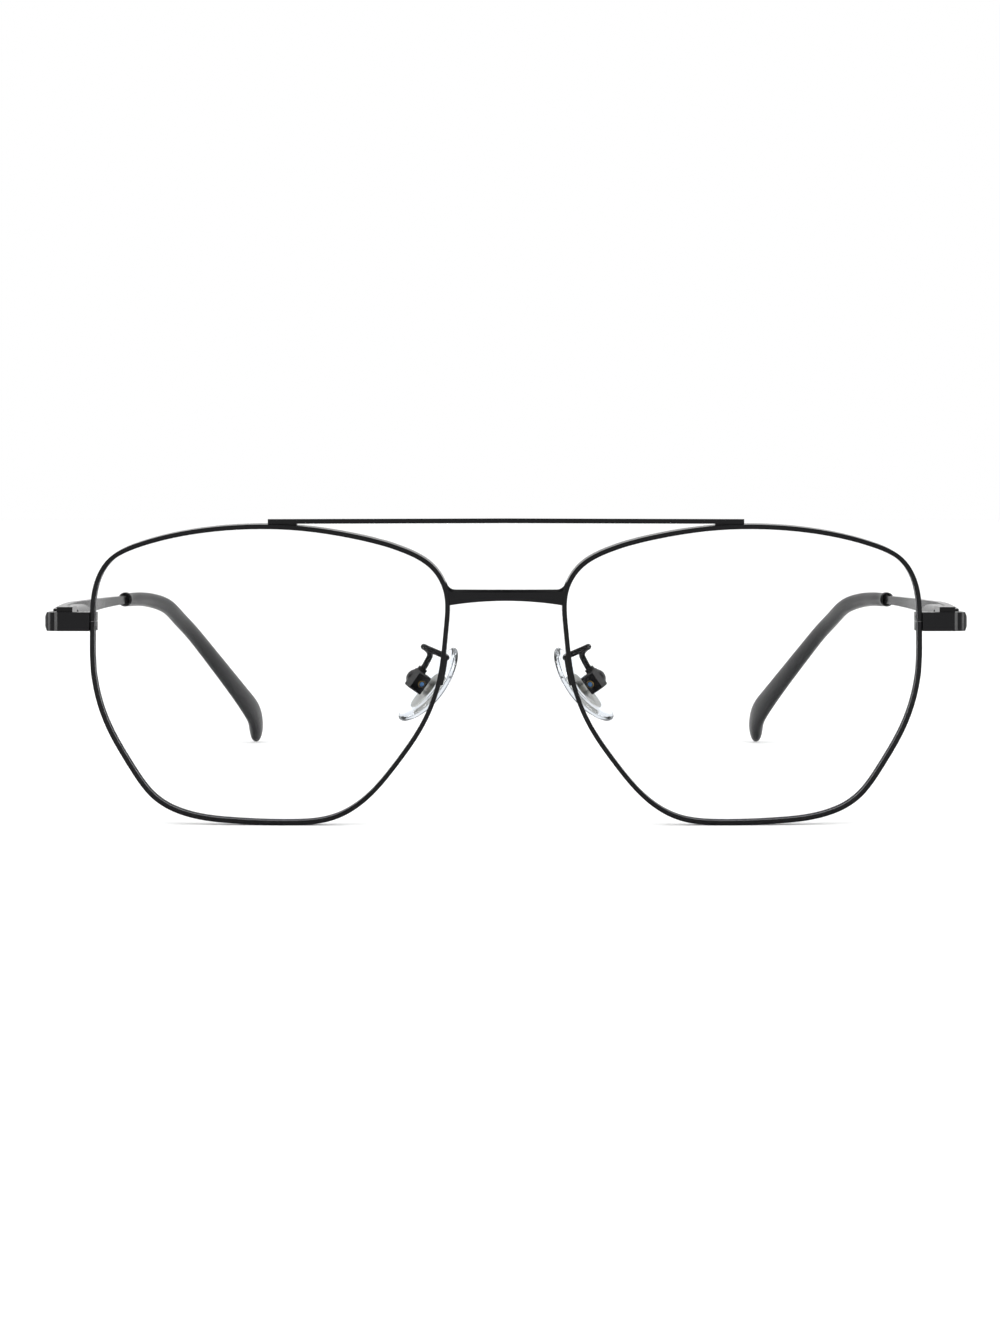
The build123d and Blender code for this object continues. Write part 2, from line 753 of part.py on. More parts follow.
with BuildPart() as pad_box_left:
    with BuildSketch(box_plane.offset(-box_front)):
        with Locations((0, (box_trail - box_lead) / 2)):
            RectangleRounded(box_length, box_lead + box_trail, box_round)
    extrude(amount=box_front + box_back)
    with BuildSketch(box_plane.offset(-box_front)):
        Rectangle(2 * (pad_lug_radius + loose_fit), pad_lug_width + 2 * loose_fit)
    extrude(amount=box_front + pad_lug_radius + loose_fit, mode=Mode.SUBTRACT)
    with BuildSketch(across_pad.offset(-box_lead)):
        Circle(pad_screw_radius + running_fit)
    extrude(amount=box_lead + box_trail, mode=Mode.SUBTRACT)

# Pad arm: a foot strip that follows the rim, and a wire that loops back to a collar on the pad box
box_end = box_plane.from_local_coords((-box_length / 2, 0, box_back / 2))
arm_route = [
    pad_middle + Vector(*place)
    for place in (pad_arm_start, pad_arm_rise, pad_arm_outer_front, pad_arm_outer_rear, pad_arm_return)
]
arm_route.append(box_end - arm_approach * box_plane.x_dir)
arm_route.append(box_end + arm_entry * box_plane.x_dir)
with BuildPart() as strip:
    add(foot_band)
    with BuildSketch(Plane.XY.offset(nose_edge.Z - foot_fall)):
        with Locations((0, front_y)):
            Rectangle(lens_gap * 2, lens_gap * 2)
    extrude(amount=foot_rise + foot_fall, mode=Mode.INTERSECT)

with BuildPart() as pad_arm_left:
    with BuildLine():
        route = FilletPolyline(*arm_route, radius=arm_bend)
    with BuildSketch(Plane(origin=route @ 0, z_dir=route % 0)):
        Circle(arm_wire / 2)
    sweep(path=route)
    with BuildSketch(Plane(origin=box_end - collar_length * box_plane.x_dir, z_dir=box_plane.x_dir)):
        Circle(collar_radius)
    extrude(amount=collar_length)
    add(strip.part)
    add(rim_envelope, mode=Mode.SUBTRACT)
    add(pad_box_left.part, mode=Mode.SUBTRACT)

# Pad screw: it crosses the box from its large domed head at the back to its end at the front
with BuildPart() as pad_screw_left:
    with BuildSketch(across_pad.offset(-box_lead - pad_screw_proud)):
        Circle(pad_screw_radius)
    extrude(amount=box_lead + pad_screw_proud + box_trail)
    with BuildSketch(across_pad.offset(box_trail)):
        Circle(pad_head_radius)
    extrude(amount=pad_head_height)
    fillet(faces().sort_by(Axis(pad_middle, across_pad.z_dir))[-1].edges(), radius=pad_head_round)
    with BuildSketch(across_pad.offset(box_trail + pad_head_height)):
        Rectangle(slot_width, 2 * pad_head_radius + overrun)
    extrude(amount=-slot_depth, mode=Mode.SUBTRACT)

# Pad core: an oval plate inside the pad, with the lug that the screw holds
core_depth = pad_standoff + core_cover + core_plate_thickness
with BuildPart() as pad_core_left:
    with BuildSketch(across_pad.offset(-pad_lug_width / 2)):
        Circle(pad_lug_radius)
        with Locations((0, (core_depth - core_plate_thickness) / 2)):
            Rectangle(pad_neck_width, core_depth - core_plate_thickness)
        Circle(pad_screw_radius + running_fit, mode=Mode.SUBTRACT)
    extrude(amount=pad_lug_width)
    with BuildSketch(pad_plane.offset(-core_depth)):
        with Locations((core_plate_shift, 0)):
            Ellipse(core_plate_length / 2, core_plate_width / 2)
    extrude(amount=core_plate_thickness)

# Nose pad: an oval of clear plastic whose two faces bend away from the nose at its ends
pad_centre = pad_plane.from_local_coords((-pad_shift, 0, pad_curve - pad_standoff))
with BuildPart() as nose_pad_left:
    with BuildSketch(pad_plane):
        with Locations((-pad_shift, -pad_lean)):
            Ellipse(pad_length / 2, pad_width / 2)
    extrude(amount=-pad_length)
    with Locations(pad_centre - pad_plane.z_dir * pad_thickness):
        Sphere(pad_curve, mode=Mode.INTERSECT)
    with Locations(pad_centre):
        Sphere(pad_curve, mode=Mode.SUBTRACT)
    fillet(edges().group_by(Axis(pad_middle, pad_plane.z_dir))[0], radius=pad_round)
    add(pad_core_left.part, mode=Mode.SUBTRACT)

# Left pieces and their names, which the right side's mirror images share
left_pieces = {
    "rim": rim_left,
    "lens": lens_left,
    "end_piece": end_piece_left,
    "rim_lock_upper": rim_lock_upper_left,
    "rim_lock_lower": rim_lock_lower_left,
    "closing_screw": closing_screw_left,
    "front_hinge": front_hinge_left,
    "hinge_screw": hinge_screw_left,
    "hinge_slider": hinge_slider_left,
    "hinge_spring": hinge_spring_left,
    "spring_housing": spring_housing_left,
    "housing_plug": housing_plug_left,
    "temple": temple_left,
    "temple_tip": temple_tip_left,
    "pad_arm": pad_arm_left,
    "pad_box": pad_box_left,
    "pad_screw": pad_screw_left,
    "pad_core": pad_core_left,
    "nose_pad": nose_pad_left,
}

for name, piece in left_pieces.items():
    piece.part.label = f"{name}_left"
    export_step(piece.part, f"parts/{name}_left.step")
    with BuildPart() as twin:
        mirror(piece.part, about=Plane.YZ)
    twin.part.label = f"{name}_right"
    export_step(twin.part, f"parts/{name}_right.step")

bridge.part.label = "bridge"
export_step(bridge.part, "parts/bridge.step")

brow_bar.part.label = "brow_bar"
export_step(brow_bar.part, "parts/brow_bar.step")
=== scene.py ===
"""Looks of double bridge glasses: their finishes and soft parts, a studio floor and its light."""

from __future__ import annotations

import logging
import math
from dataclasses import dataclass, field
from enum import Enum

import bmesh
import bpy
from mathutils import Matrix, Vector

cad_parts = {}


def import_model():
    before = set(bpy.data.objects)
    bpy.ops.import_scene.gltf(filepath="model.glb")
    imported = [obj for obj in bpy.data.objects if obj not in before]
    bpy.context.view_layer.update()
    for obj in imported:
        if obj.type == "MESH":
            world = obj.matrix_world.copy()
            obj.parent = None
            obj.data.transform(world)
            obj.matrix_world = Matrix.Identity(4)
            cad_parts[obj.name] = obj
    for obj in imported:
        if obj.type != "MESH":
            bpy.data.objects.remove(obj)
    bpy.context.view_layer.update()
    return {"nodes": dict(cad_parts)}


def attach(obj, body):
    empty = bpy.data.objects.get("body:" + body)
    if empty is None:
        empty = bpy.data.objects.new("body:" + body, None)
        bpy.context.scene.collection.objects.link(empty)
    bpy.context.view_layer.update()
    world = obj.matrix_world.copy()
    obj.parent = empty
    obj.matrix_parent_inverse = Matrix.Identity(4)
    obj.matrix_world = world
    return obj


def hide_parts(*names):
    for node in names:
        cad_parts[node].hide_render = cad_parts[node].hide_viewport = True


MM = 0.001
# The sRGB curve: a straight foot and, above it, a power of the offset value
SRGB_FOOT, SRGB_FOOT_SLOPE, SRGB_OFFSET, SRGB_POWER = 0.04045, 12.92, 0.055, 2.4
# Noise seldom leaves this range, so a surface spreads it over one of its own
NOISE_LOW, NOISE_HIGH = 0.3, 0.7
EVEN = Vector((1, 1, 1))
# The refractive index of lacquer and acetate alike
PLASTIC_IOR = 1.48
# How far the pad box is turned about the pad's face
BOX_TWIST_DEGREES = 9.0
LOG = logging.getLogger("double_bridge_glasses")


class Side(Enum):
    """The wearer's side that a piece belongs to, with the sign of its X."""

    LEFT = 1
    RIGHT = -1

    @property
    def word(self) -> str:
        """Return the side's name as the solids write it."""
        return self.name.lower()


class Sheen(Enum):
    """How smooth a surface was left, as the roughness that gives that sheen."""

    FLAWLESS = 0.0
    POLISHED = 0.06
    GLOSSY = 0.16
    SATIN = 0.3
    DULL = 0.5


class Detail(Enum):
    """How many finer layers lie in a noise."""

    SMOOTH = 2.0
    FINE = 3.0
    CLOUDY = 4.0


def linear_colour(code: str) -> tuple[float, float, float, float]:
    """Turn an sRGB hex colour into the linear one that a shader takes.

    Args:
        code: The colour as six hex digits after a hash.

    Returns:
        Red, green, blue and an alpha of one.
    """
    parts = [int(code[i : i + 2], 16) / 255 for i in (1, 3, 5)]
    red, green, blue = (
        part / SRGB_FOOT_SLOPE
        if part <= SRGB_FOOT
        else ((part + SRGB_OFFSET) / (1 + SRGB_OFFSET)) ** SRGB_POWER
        for part in parts
    )
    return red, green, blue, 1.0


def add_node(
    tree: bpy.types.NodeTree,
    kind: str,
    inputs: dict[str | int, object] | None = None,
    **settings: object,
) -> bpy.types.Node:
    """Add a node with its settings, and link or set its inputs.

    Args:
        tree: The tree that the node goes into.
        kind: Blender's name for the node's type.
        inputs: A value, or the output to link, for each input by name or place.
        settings: The node's own options.

    Returns:
        The new node.
    """
    node = tree.nodes.new(kind)
    for name, value in settings.items():
        setattr(node, name, value)
    for name, value in (inputs or {}).items():
        if isinstance(value, bpy.types.NodeSocket):
            tree.links.new(value, node.inputs[name])
        else:
            node.inputs[name].default_value = value
    return node


def new_material(name: str) -> tuple[bpy.types.Material, bpy.types.NodeTree]:
    """Start an empty material.

    Args:
        name: The material's name.

    Returns:
        The material and its node tree.
    """
    material = bpy.data.materials.new(name)
    material.use_nodes = True
    material.node_tree.nodes.clear()
    return material, material.node_tree


def spaced(
    tree: bpy.types.NodeTree, spacing_mm: float, detail: Detail, stretch: Vector = EVEN
) -> bpy.types.NodeSocket:
    """Add noise whose blotches repeat at a real spacing.

    Args:
        tree: The material's tree.
        spacing_mm: The distance between blotches.
        detail: How many finer layers lie in it.
        stretch: How much closer the blotches lie along each axis.

    Returns:
        The noise's value.
    """
    place = add_node(tree, "ShaderNodeTexCoord").outputs["Object"]
    turned = add_node(tree, "ShaderNodeMapping", {"Vector": place, "Scale": stretch})
    noise = add_node(
        tree,
        "ShaderNodeTexNoise",
        {
            "Vector": turned.outputs["Vector"],
            "Scale": 1 / (spacing_mm * MM),
            "Detail": detail.value,
        },
    )
    return noise.outputs["Fac"]


def ranged(
    tree: bpy.types.NodeTree, noise: bpy.types.NodeSocket, low: float, high: float
) -> bpy.types.NodeSocket:
    """Spread noise over a range of its own.

    Args:
        tree: The material's tree.
        noise: The noise to spread.
        low: What its usual lowest value becomes.
        high: What its usual highest value becomes.

    Returns:
        The spread value.
    """
    inputs = {
        "Value": noise,
        "From Min": NOISE_LOW,
        "From Max": NOISE_HIGH,
        "To Min": low,
        "To Max": high,
    }
    return add_node(tree, "ShaderNodeMapRange", inputs).outputs["Result"]


def tinted(
    tree: bpy.types.NodeTree, value: bpy.types.NodeSocket, dark: str, light: str
) -> bpy.types.NodeSocket:
    """Mix two colours by a value.

    Args:
        tree: The material's tree.
        value: The share of the light colour.
        dark: The hex colour at 0.
        light: The hex colour at 1.

    Returns:
        The mixed colour.
    """
    ramp = add_node(tree, "ShaderNodeValToRGB", {"Fac": value})
    ramp.color_ramp.elements[0].color = linear_colour(dark)
    ramp.color_ramp.elements[1].color = linear_colour(light)
    return ramp.outputs["Color"]


def bumped(
    tree: bpy.types.NodeTree, height: bpy.types.NodeSocket, distance_mm: float, strength: float
) -> bpy.types.Node:
    """Add relief that noise draws.

    Args:
        tree: The material's tree.
        height: The noise.
        distance_mm: The relief's real height.
        strength: How much of it the light shows.

    Returns:
        The relief.
    """
    inputs = {"Height": height, "Distance": distance_mm * MM, "Strength": strength}
    return add_node(tree, "ShaderNodeBump", inputs)


def principled(
    tree: bpy.types.NodeTree, inputs: dict[str, object], relief: bpy.types.Node | None = None
) -> bpy.types.NodeSocket:
    """Add a principled shader.

    Args:
        tree: The material's tree.
        inputs: The shader's own inputs.
        relief: The relief, where the surface has any.

    Returns:
        The shader.
    """
    normal = {} if relief is None else {"Normal": relief.outputs["Normal"]}
    return add_node(tree, "ShaderNodeBsdfPrincipled", inputs | normal).outputs["BSDF"]


def mixed(
    tree: bpy.types.NodeTree,
    share: bpy.types.NodeSocket,
    first: bpy.types.NodeSocket,
    second: bpy.types.NodeSocket,
) -> bpy.types.NodeSocket:
    """Mix two shaders.

    Args:
        tree: The material's tree.
        share: The second shader's share.
        first: The shader at 0.
        second: The shader at 1.

    Returns:
        The mixed shader.
    """
    return add_node(tree, "ShaderNodeMixShader", {0: share, 1: first, 2: second}).outputs["Shader"]


def surfaced(tree: bpy.types.NodeTree, shader: bpy.types.NodeSocket) -> None:
    """Make a shader the surface of its material.

    Args:
        tree: The material's tree.
        shader: The shader.
    """
    add_node(tree, "ShaderNodeOutputMaterial", {"Surface": shader})


def placed(name: str, data: bpy.types.ID) -> bpy.types.Object:
    """Put a mesh, lamp or camera into the scene.

    Args:
        name: The object's name.
        data: The mesh, lamp or camera.

    Returns:
        The object.
    """
    thing = bpy.data.objects.new(name, data)
    bpy.context.scene.collection.objects.link(thing)
    return thing


@dataclass(frozen=True)
class BakedLacquer:
    """Black lacquer baked on nickel alloy wire, with a faint orange peel.

    It is near black face on and paler at a glance.
    """

    name: str = "baked_black_lacquer"
    dark: str = "#0a0a0b"
    light: str = "#101012"
    sheen: Sheen = Sheen.GLOSSY
    peel_mm: float = 0.7
    peel_height_mm: float = 0.0012
    peel_strength: float = 0.6
    peel_smoother: float = 0.03
    peel_rougher: float = 0.04
    drift_mm: float = 6.3
    edge_mm: float = 0.07
    edge_samples: int = 4
    specular_level: float = 0.15

    def build(self) -> bpy.types.Material:
        """Return the lacquer, with its edges softened as the real film rounds them."""
        material, tree = new_material(self.name)
        peel = spaced(tree, self.peel_mm, Detail.FINE)
        drift = spaced(tree, self.drift_mm, Detail.SMOOTH)
        rounding = {"Radius": self.edge_mm * MM}
        edge = add_node(tree, "ShaderNodeBevel", rounding, samples=self.edge_samples)
        relief = bumped(tree, peel, self.peel_height_mm, self.peel_strength)
        tree.links.new(edge.outputs["Normal"], relief.inputs["Normal"])
        smoothest = self.sheen.value - self.peel_smoother
        roughest = self.sheen.value + self.peel_rougher
        inputs = {
            "Base Color": tinted(tree, drift, self.dark, self.light),
            "Roughness": ranged(tree, peel, smoothest, roughest),
            "IOR": PLASTIC_IOR,
            "Specular IOR Level": self.specular_level,
        }
        surfaced(tree, principled(tree, inputs, relief))
        return material


@dataclass(frozen=True)
class MouldedAcetate:
    """Black cellulose acetate, moulded and tumbled to a soft, faintly cloudy gloss."""

    name: str = "tumbled_black_acetate"
    dark: str = "#111113"
    light: str = "#18181a"
    sheen: Sheen = Sheen.SATIN
    cloud_mm: float = 5.0
    cloud_rougher: float = 0.08
    tumble_mm: float = 0.5
    tumble_height_mm: float = 0.0006
    tumble_strength: float = 0.4
    specular_level: float = 0.2

    def build(self) -> bpy.types.Material:
        """Return the acetate, whose sheen drifts where the tumbling left it duller."""
        material, tree = new_material(self.name)
        cloud = spaced(tree, self.cloud_mm, Detail.CLOUDY)
        tumble = spaced(tree, self.tumble_mm, Detail.SMOOTH)
        relief = bumped(tree, tumble, self.tumble_height_mm, self.tumble_strength)
        roughest = self.sheen.value + self.cloud_rougher
        inputs = {
            "Base Color": tinted(tree, cloud, self.dark, self.light),
            "Roughness": ranged(tree, cloud, self.sheen.value, roughest),
            "IOR": PLASTIC_IOR,
            "Specular IOR Level": self.specular_level,
        }
        surfaced(tree, principled(tree, inputs, relief))
        return material


@dataclass(frozen=True)
class ClearSheet:
    """A see-through plastic that light also passes on its way to the floor.

    Its shadow stays faint for that reason.
    """

    name: str
    tint_low: str
    tint_high: str
    sheen: Sheen
    ior: float
    flow_mm: float
    flow_height_mm: float
    shade: str
    flow_strength: float = 0.4
    ground_dark: str | None = None
    ground_light: str = "#6e6e72"
    ground_below: float = 0.55
    grit_mm: float = 0.15

    def build(self) -> bpy.types.Material:
        """Return the plastic, with the slow waves that its mould or its polish left."""
        material, tree = new_material(self.name)
        flow = spaced(tree, self.flow_mm, Detail.SMOOTH)
        relief = bumped(tree, flow, self.flow_height_mm, self.flow_strength)
        inputs = {
            "Base Color": tinted(tree, flow, self.tint_low, self.tint_high),
            "Roughness": self.sheen.value,
            "IOR": self.ior,
            "Transmission Weight": 1.0,
        }
        body = principled(tree, inputs, relief)
        shade = {"Color": linear_colour(self.shade)}
        shadow = add_node(tree, "ShaderNodeBsdfTransparent", shade).outputs["BSDF"]
        for_shadow = add_node(tree, "ShaderNodeLightPath").outputs["Is Shadow Ray"]
        clear = mixed(tree, for_shadow, body, shadow)
        surfaced(tree, self.with_ground_edge(tree, clear) if self.ground_dark else clear)
        return material

    def with_ground_edge(
        self, tree: bpy.types.NodeTree, clear: bpy.types.NodeSocket
    ) -> bpy.types.NodeSocket:
        """Turn the faces that look sideways into a dull ground edge.

        Args:
            tree: The material's tree.
            clear: The clear shader.

        Returns:
            The clear shader with its ground edge.
        """
        facing = add_node(tree, "ShaderNodeTexCoord").outputs["Normal"]
        forward = add_node(tree, "ShaderNodeSeparateXYZ", {"Vector": facing}).outputs["Y"]
        flat = add_node(tree, "ShaderNodeMath", {0: forward}, operation="ABSOLUTE").outputs[0]
        limits = {0: flat, 1: self.ground_below}
        edge = add_node(tree, "ShaderNodeMath", limits, operation="LESS_THAN").outputs[0]
        grit = spaced(tree, self.grit_mm, Detail.SMOOTH)
        inputs = {
            "Base Color": tinted(tree, grit, self.ground_dark, self.ground_light),
            "Roughness": Sheen.DULL.value,
        }
        ground = principled(tree, inputs)
        return mixed(tree, edge, clear, ground)


@dataclass(frozen=True)
class BareMetal:
    """An uncoated metal with fine tool or brush lines that draw its reflections out one way."""

    name: str
    dark: str
    light: str
    sheen: Sheen
    line_mm: float
    stretch: Vector
    line_height_mm: float = 0.0015
    line_strength: float = 0.6
    line_smoother: float = 0.04
    line_rougher: float = 0.08

    def build(self) -> bpy.types.Material:
        """Return the metal, with its lines in colour, sheen and relief."""
        material, tree = new_material(self.name)
        lines = spaced(tree, self.line_mm, Detail.FINE, self.stretch)
        relief = bumped(tree, lines, self.line_height_mm, self.line_strength)
        smoothest = self.sheen.value - self.line_smoother
        roughest = self.sheen.value + self.line_rougher
        inputs = {
            "Base Color": tinted(tree, lines, self.dark, self.light),
            "Metallic": 1.0,
            "Roughness": ranged(tree, lines, smoothest, roughest),
        }
        surfaced(tree, principled(tree, inputs, relief))
        return material


@dataclass(frozen=True)
class ThreadLock:
    """A dried dab of blue thread adhesive: a slightly milky blue film with a wet gloss."""

    name: str = "dried_blue_thread_adhesive"
    dark: str = "#152f4c"
    light: str = "#3a6a9c"
    blot_mm: float = 0.25
    blot_height_mm: float = 0.01
    blot_strength: float = 0.5
    ior: float = 1.5

    def build(self) -> bpy.types.Material:
        """Return the dab, blotchy where it dried thin."""
        material, tree = new_material(self.name)
        blot = spaced(tree, self.blot_mm, Detail.FINE)
        relief = bumped(tree, blot, self.blot_height_mm, self.blot_strength)
        inputs = {
            "Base Color": tinted(tree, blot, self.dark, self.light),
            "Roughness": Sheen.GLOSSY.value,
            "IOR": self.ior,
        }
        surfaced(tree, principled(tree, inputs, relief))
        return material


@dataclass(frozen=True)
class PaperFloor:
    """A sheet of seamless white studio paper: matt, with the faintest unevenness."""

    name: str = "white_studio_paper"
    dark: str = "#fafafa"
    light: str = "#ffffff"
    fibre_mm: float = 3.0
    roughness: float = 0.4

    def build(self) -> bpy.types.Material:
        """Return the paper."""
        material, tree = new_material(self.name)
        fibre = spaced(tree, self.fibre_mm, Detail.FINE)
        inputs = {"Color": tinted(tree, fibre, self.dark, self.light), "Roughness": self.roughness}
        surfaced(tree, add_node(tree, "ShaderNodeBsdfDiffuse", inputs).outputs["BSDF"])
        return material


@dataclass
class Finishes:
    """Every finish on the glasses, each made once."""

    lacquer: bpy.types.Material = field(default_factory=lambda: BakedLacquer().build())
    acetate: bpy.types.Material = field(default_factory=lambda: MouldedAcetate().build())
    # Plastic lens with a clear coat that takes its glare away, seen by its ground edge. Its low
    # index lets what lies behind it show in its own place and tone
    lens: bpy.types.Material = field(
        default_factory=lambda: ClearSheet(
            name="coated_clear_lens",
            tint_low="#fdfefe",
            tint_high="#ffffff",
            sheen=Sheen.FLAWLESS,
            ior=1.1,
            flow_mm=18.0,
            flow_height_mm=0.0002,
            shade="#ffffff",
            ground_dark="#56565a",
        ).build()
    )
    # Soft clear vinyl: a little cloudy and bluish where it is thick
    vinyl: bpy.types.Material = field(
        default_factory=lambda: ClearSheet(
            name="soft_clear_vinyl",
            tint_low="#e6edf6",
            tint_high="#f4f8fc",
            sheen=Sheen.POLISHED,
            ior=1.38,
            flow_mm=2.0,
            flow_height_mm=0.02,
            shade="#e6ebf2",
        ).build()
    )
    # Stamped nickel silver plate: pale grey with fine lines across it
    nickel: bpy.types.Material = field(
        default_factory=lambda: BareMetal(
            name="stamped_nickel_silver",
            dark="#a4a29c",
            light="#c9c7c1",
            sheen=Sheen.SATIN,
            line_mm=0.12,
            stretch=Vector((1, 4, 1)),
        ).build()
    )
    # Turned steel: cooler grey with rings from the lathe
    steel: bpy.types.Material = field(
        default_factory=lambda: BareMetal(
            name="turned_steel",
            dark="#8f9194",
            light="#c2c4c7",
            sheen=Sheen.GLOSSY,
            line_mm=0.1,
            stretch=Vector((1, 1, 5)),
        ).build()
    )
    # Blackened screw steel: dark grey metal whose slot and edge catch the light
    black_steel: bpy.types.Material = field(
        default_factory=lambda: BareMetal(
            name="blackened_screw_steel",
            dark="#1c1c1e",
            light="#2a2a2d",
            sheen=Sheen.GLOSSY,
            line_mm=0.12,
            stretch=Vector((1, 1, 3)),
        ).build()
    )
    # Brass screw core that shows as a ring where its black plating ends
    brass: bpy.types.Material = field(
        default_factory=lambda: BareMetal(
            name="turned_brass",
            dark="#8a7440",
            light="#b39a5c",
            sheen=Sheen.SATIN,
            line_mm=0.1,
            stretch=Vector((3, 1, 1)),
        ).build()
    )
    adhesive: bpy.types.Material = field(default_factory=lambda: ThreadLock().build())

    def dress_solids(self, nodes: dict[str, bpy.types.Object]) -> None:
        """Give every solid of the frame its finish.

        Args:
            nodes: The frame's solids by name.
        """
        by_start = {
            "lens": self.lens,
            "nose_pad": self.vinyl,
            "pad_core": self.nickel,
            "temple_tip": self.acetate,
            "hinge_slider": self.steel,
            "hinge_spring": self.steel,
            "housing_plug": self.steel,
            "closing_screw": self.black_steel,
            "hinge_screw": self.black_steel,
            "pad_screw": self.black_steel,
        }
        for name, solid in nodes.items():
            fitting = (finish for start, finish in by_start.items() if name.startswith(start))
            finish = next(fitting, self.lacquer)
            solid.data.materials.clear()
            solid.data.materials.append(finish)
            LOG.info("%s: %s", name, finish.name)


def closed_mesh(
    name: str, rings: list[list[Vector]], material: bpy.types.Material
) -> bpy.types.Object:
    """Join rings of points into one closed skin, whose first and last rings shrink to a point.

    Args:
        name: The piece's name.
        rings: Rings with as many points each, from one pole to the other.
        material: The piece's finish.

    Returns:
        The piece, smooth shaded, with its faces outward.
    """
    shell = bmesh.new()
    first = shell.verts.new(sum(rings[0], Vector()) / len(rings[0]))
    last = shell.verts.new(sum(rings[-1], Vector()) / len(rings[-1]))
    rows = [[shell.verts.new(point) for point in ring] for ring in rings[1:-1]]
    count = len(rows[0])
    for i in range(count):
        j = (i + 1) % count
        shell.faces.new((first, rows[0][j], rows[0][i]))
        shell.faces.new((last, rows[-1][i], rows[-1][j]))
        for lower, upper in zip(rows, rows[1:]):
            shell.faces.new((lower[i], lower[j], upper[j], upper[i]))
    bmesh.ops.recalc_face_normals(shell, faces=shell.faces)
    mesh = bpy.data.meshes.new(name)
    shell.to_mesh(mesh)
    shell.free()
    mesh.shade_smooth()
    mesh.materials.append(material)
    return placed(name, mesh)


@dataclass
class PadPlace:
    """Where the left nose pad's hinge stands, and the directions along the pad and to its box."""

    spread_mm: float = 13.591
    depth_mm: float = -62.373
    height_mm: float = 22.002
    twist_degrees: float = 0.0
    run: Vector = field(default_factory=lambda: Vector((0.625, 0.122, -0.771)))
    face: Vector = field(default_factory=lambda: Vector((0.742, -0.401, 0.538)))

    def at(self, side: Side, along: float, across: float, up: float) -> Vector:
        """Turn a place on the pad into one in the frame.

        Args:
            side: The side that the pad is on.
            along: Millimetres down the pad.
            across: Millimetres across it, towards the back.
            up: Millimetres from the hinge towards the box.

        Returns:
            The place in metres.
        """
        face = self.face.normalized()
        run = Matrix.Rotation(math.radians(-self.twist_degrees), 3, face) @ self.run.normalized()
        back = face.cross(run)
        hinge = Vector((self.spread_mm, self.depth_mm, self.height_mm))
        place = hinge + along * run + across * back + up * face
        return Vector((side.value * place.x, place.y, place.z)) * MM


@dataclass
class NosePad:
    """A soft clear oval pad bent round the nose, with a rolled edge and a rim round its core."""

    place: PadPlace
    length_mm: float = 14.26
    width_mm: float = 7.26
    lean_mm: float = -0.28
    thickness_mm: float = 1.55
    standoff_mm: float = 1.9
    shift_mm: float = 0.55
    curve_mm: float = 19.3
    edge_power: int = 6
    edge_fullness: float = 0.4
    rim_rise_mm: float = 0.12
    rim_share: float = 0.56
    rim_spread: float = 0.07
    points: int = 72
    rows: int = 18

    def build(self, side: Side, vinyl: bpy.types.Material) -> bpy.types.Object:
        """Make one pad.

        Args:
            side: The side that it is on.
            vinyl: The clear vinyl.

        Returns:
            The pad.
        """
        piece = closed_mesh(f"soft_pad_{side.word}", self.rings(side), vinyl)
        LOG.info("%s: %d faces", piece.name, len(piece.data.polygons))
        return piece

    def rings(self, side: Side) -> list[list[Vector]]:
        """Return the pad's rings, from the middle of its box side to that of its nose side."""
        steps = [step / self.rows for step in range(self.rows + 1)]
        box_side = [(math.sin(step * math.pi / 2), 1) for step in steps]
        nose_side = [(share, -1) for share, _ in reversed(box_side[:-1])]
        return [
            [self.point(side, share, face, n) for n in range(self.points)]
            for share, face in box_side + nose_side
        ]

    def point(self, side: Side, share: float, face: int, n: int) -> Vector:
        """Return one point of the pad.

        Args:
            side: The side that the pad is on.
            share: How far out it is, from 0 at the middle to 1 at the edge.
            face: 1 on the box side, -1 on the nose side.
            n: The point's number round the oval.

        Returns:
            The place in metres.
        """
        angle = 2 * math.pi * n / self.points
        along = share * self.length_mm / 2 * math.cos(angle)
        across = share * self.width_mm / 2 * math.sin(angle)
        half = self.thickness_mm / 2 * (1 - share**self.edge_power) ** self.edge_fullness
        past_rim = (share - self.rim_share) / self.rim_spread
        rise = self.rim_rise_mm * math.exp(-(past_rim**2)) if face > 0 else 0.0
        bend = (along**2 + across**2) / (2 * self.curve_mm)
        middle = -self.standoff_mm - self.thickness_mm / 2 + bend
        up = middle + face * half + rise
        return self.place.at(side, along - self.shift_mm, across + self.lean_mm, up)


